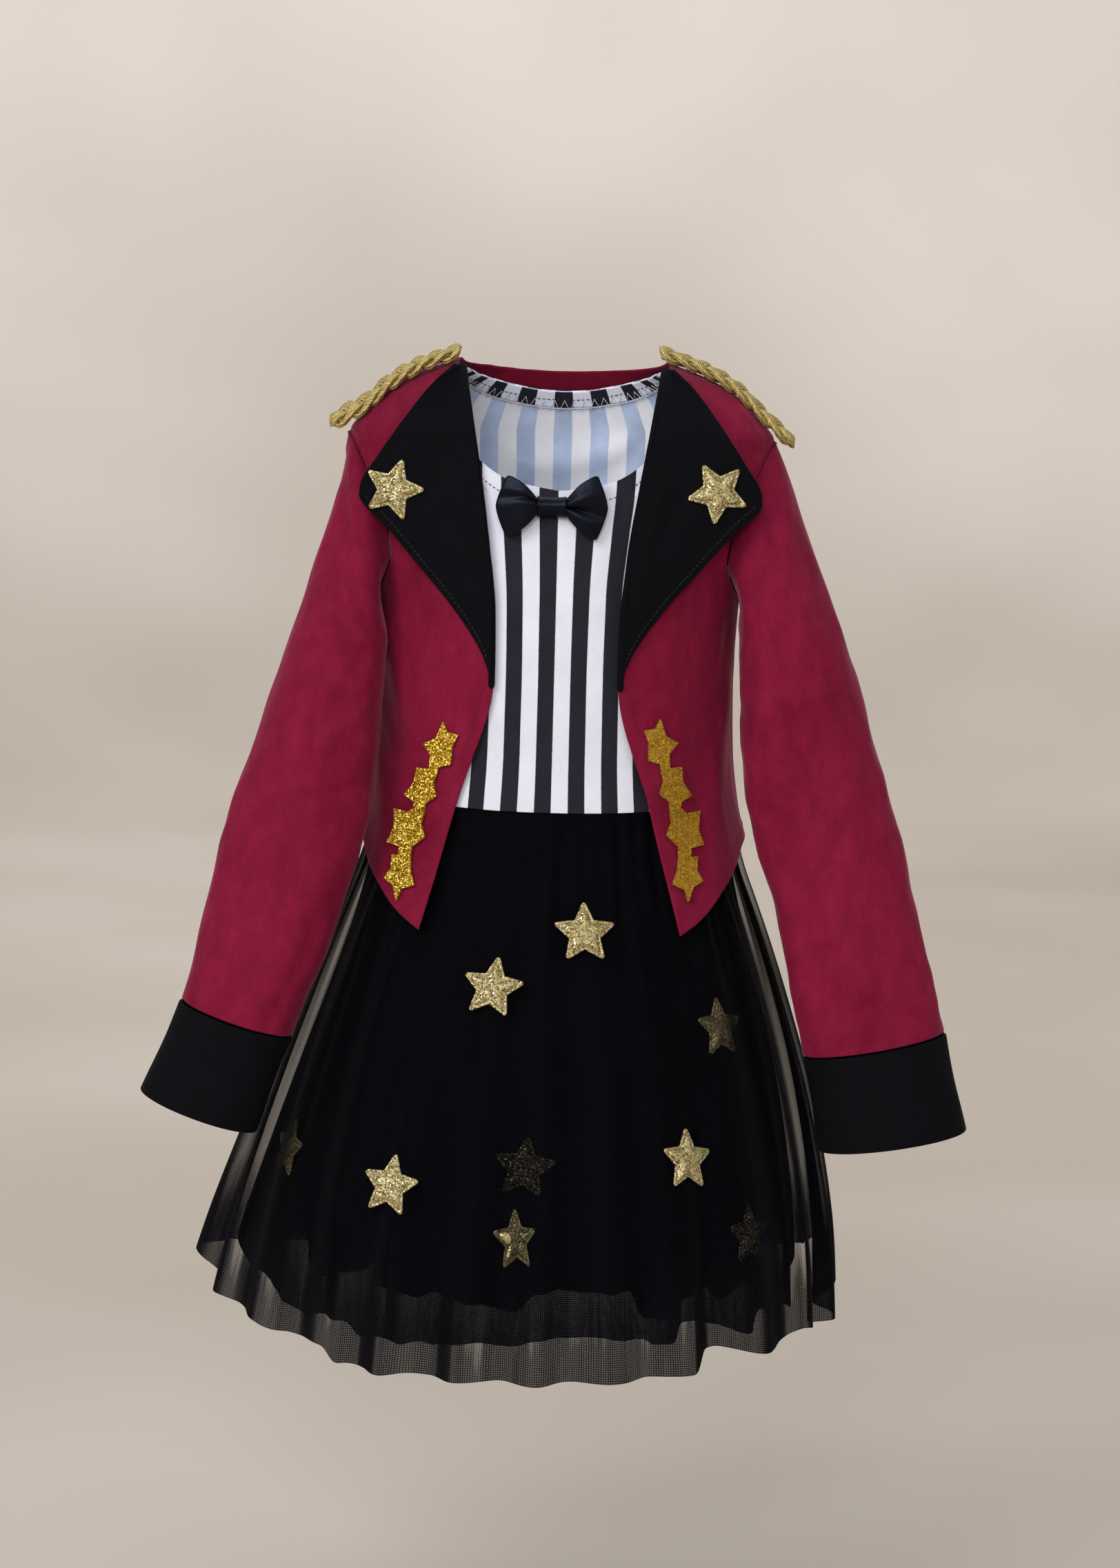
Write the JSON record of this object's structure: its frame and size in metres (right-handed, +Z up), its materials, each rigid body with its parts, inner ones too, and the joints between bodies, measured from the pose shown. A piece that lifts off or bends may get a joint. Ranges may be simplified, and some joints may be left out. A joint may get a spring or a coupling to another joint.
{
  "type": "ringmaster costume",
  "caption": "Child's ringmaster costume, filled out as worn: an open cropped velvet jacket with wide lapels over a striped dress with a gathered net skirt.",
  "frame": {"origin": "midway between the two neck points of the jacket, where the shoulder seams end, at their height", "axes": "+Z up, -Y to the front, +X to the wearer's left"},
  "size_m": [0.486, 0.3432, 0.5945],
  "materials": {
    "velvet": "burgundy polyester velvet, short nap",
    "black_velvet": "black polyester velvet, short nap",
    "striped_jersey": "matte knit jersey printed with black and white stripes",
    "black_net": "fine black tulle, sheer",
    "black_lining": "opaque black woven lining",
    "black_satin": "black satin, soft sheen",
    "glitter": "pale gold glitter cloth, padded",
    "deep_glitter": "deep gold glitter sheet",
    "gold_cord": "gold metallic twisted cord"
  },
  "bodies": {
    "root": {"jacket_back": "velvet", "jacket_front_right": "velvet", "lapel_right": "black_velvet", "sleeve_right": "velvet", "cuff_right": "black_velvet", "epaulette_right": "gold_cord", "star_chain_right": "deep_glitter", "lapel_star_right": "glitter", "jacket_front_left": "velvet", "lapel_left": "black_velvet", "sleeve_left": "velvet", "cuff_left": "black_velvet", "epaulette_left": "gold_cord", "star_chain_left": "deep_glitter", "lapel_star_left": "glitter", "bodice_front": "striped_jersey", "bodice_back": "striped_jersey", "neck_facing": "striped_jersey", "bow": "black_satin", "skirt_outer_net": "black_net", "skirt_under_net": "black_net", "skirt_lining": "black_lining", "skirt_star_1": "glitter", "skirt_star_2": "glitter", "skirt_star_3": "glitter", "skirt_star_4": "glitter", "skirt_star_5": "glitter", "skirt_star_6": "glitter", "skirt_star_7": "glitter", "skirt_star_8": "glitter"}
  },
  "joints": []
}
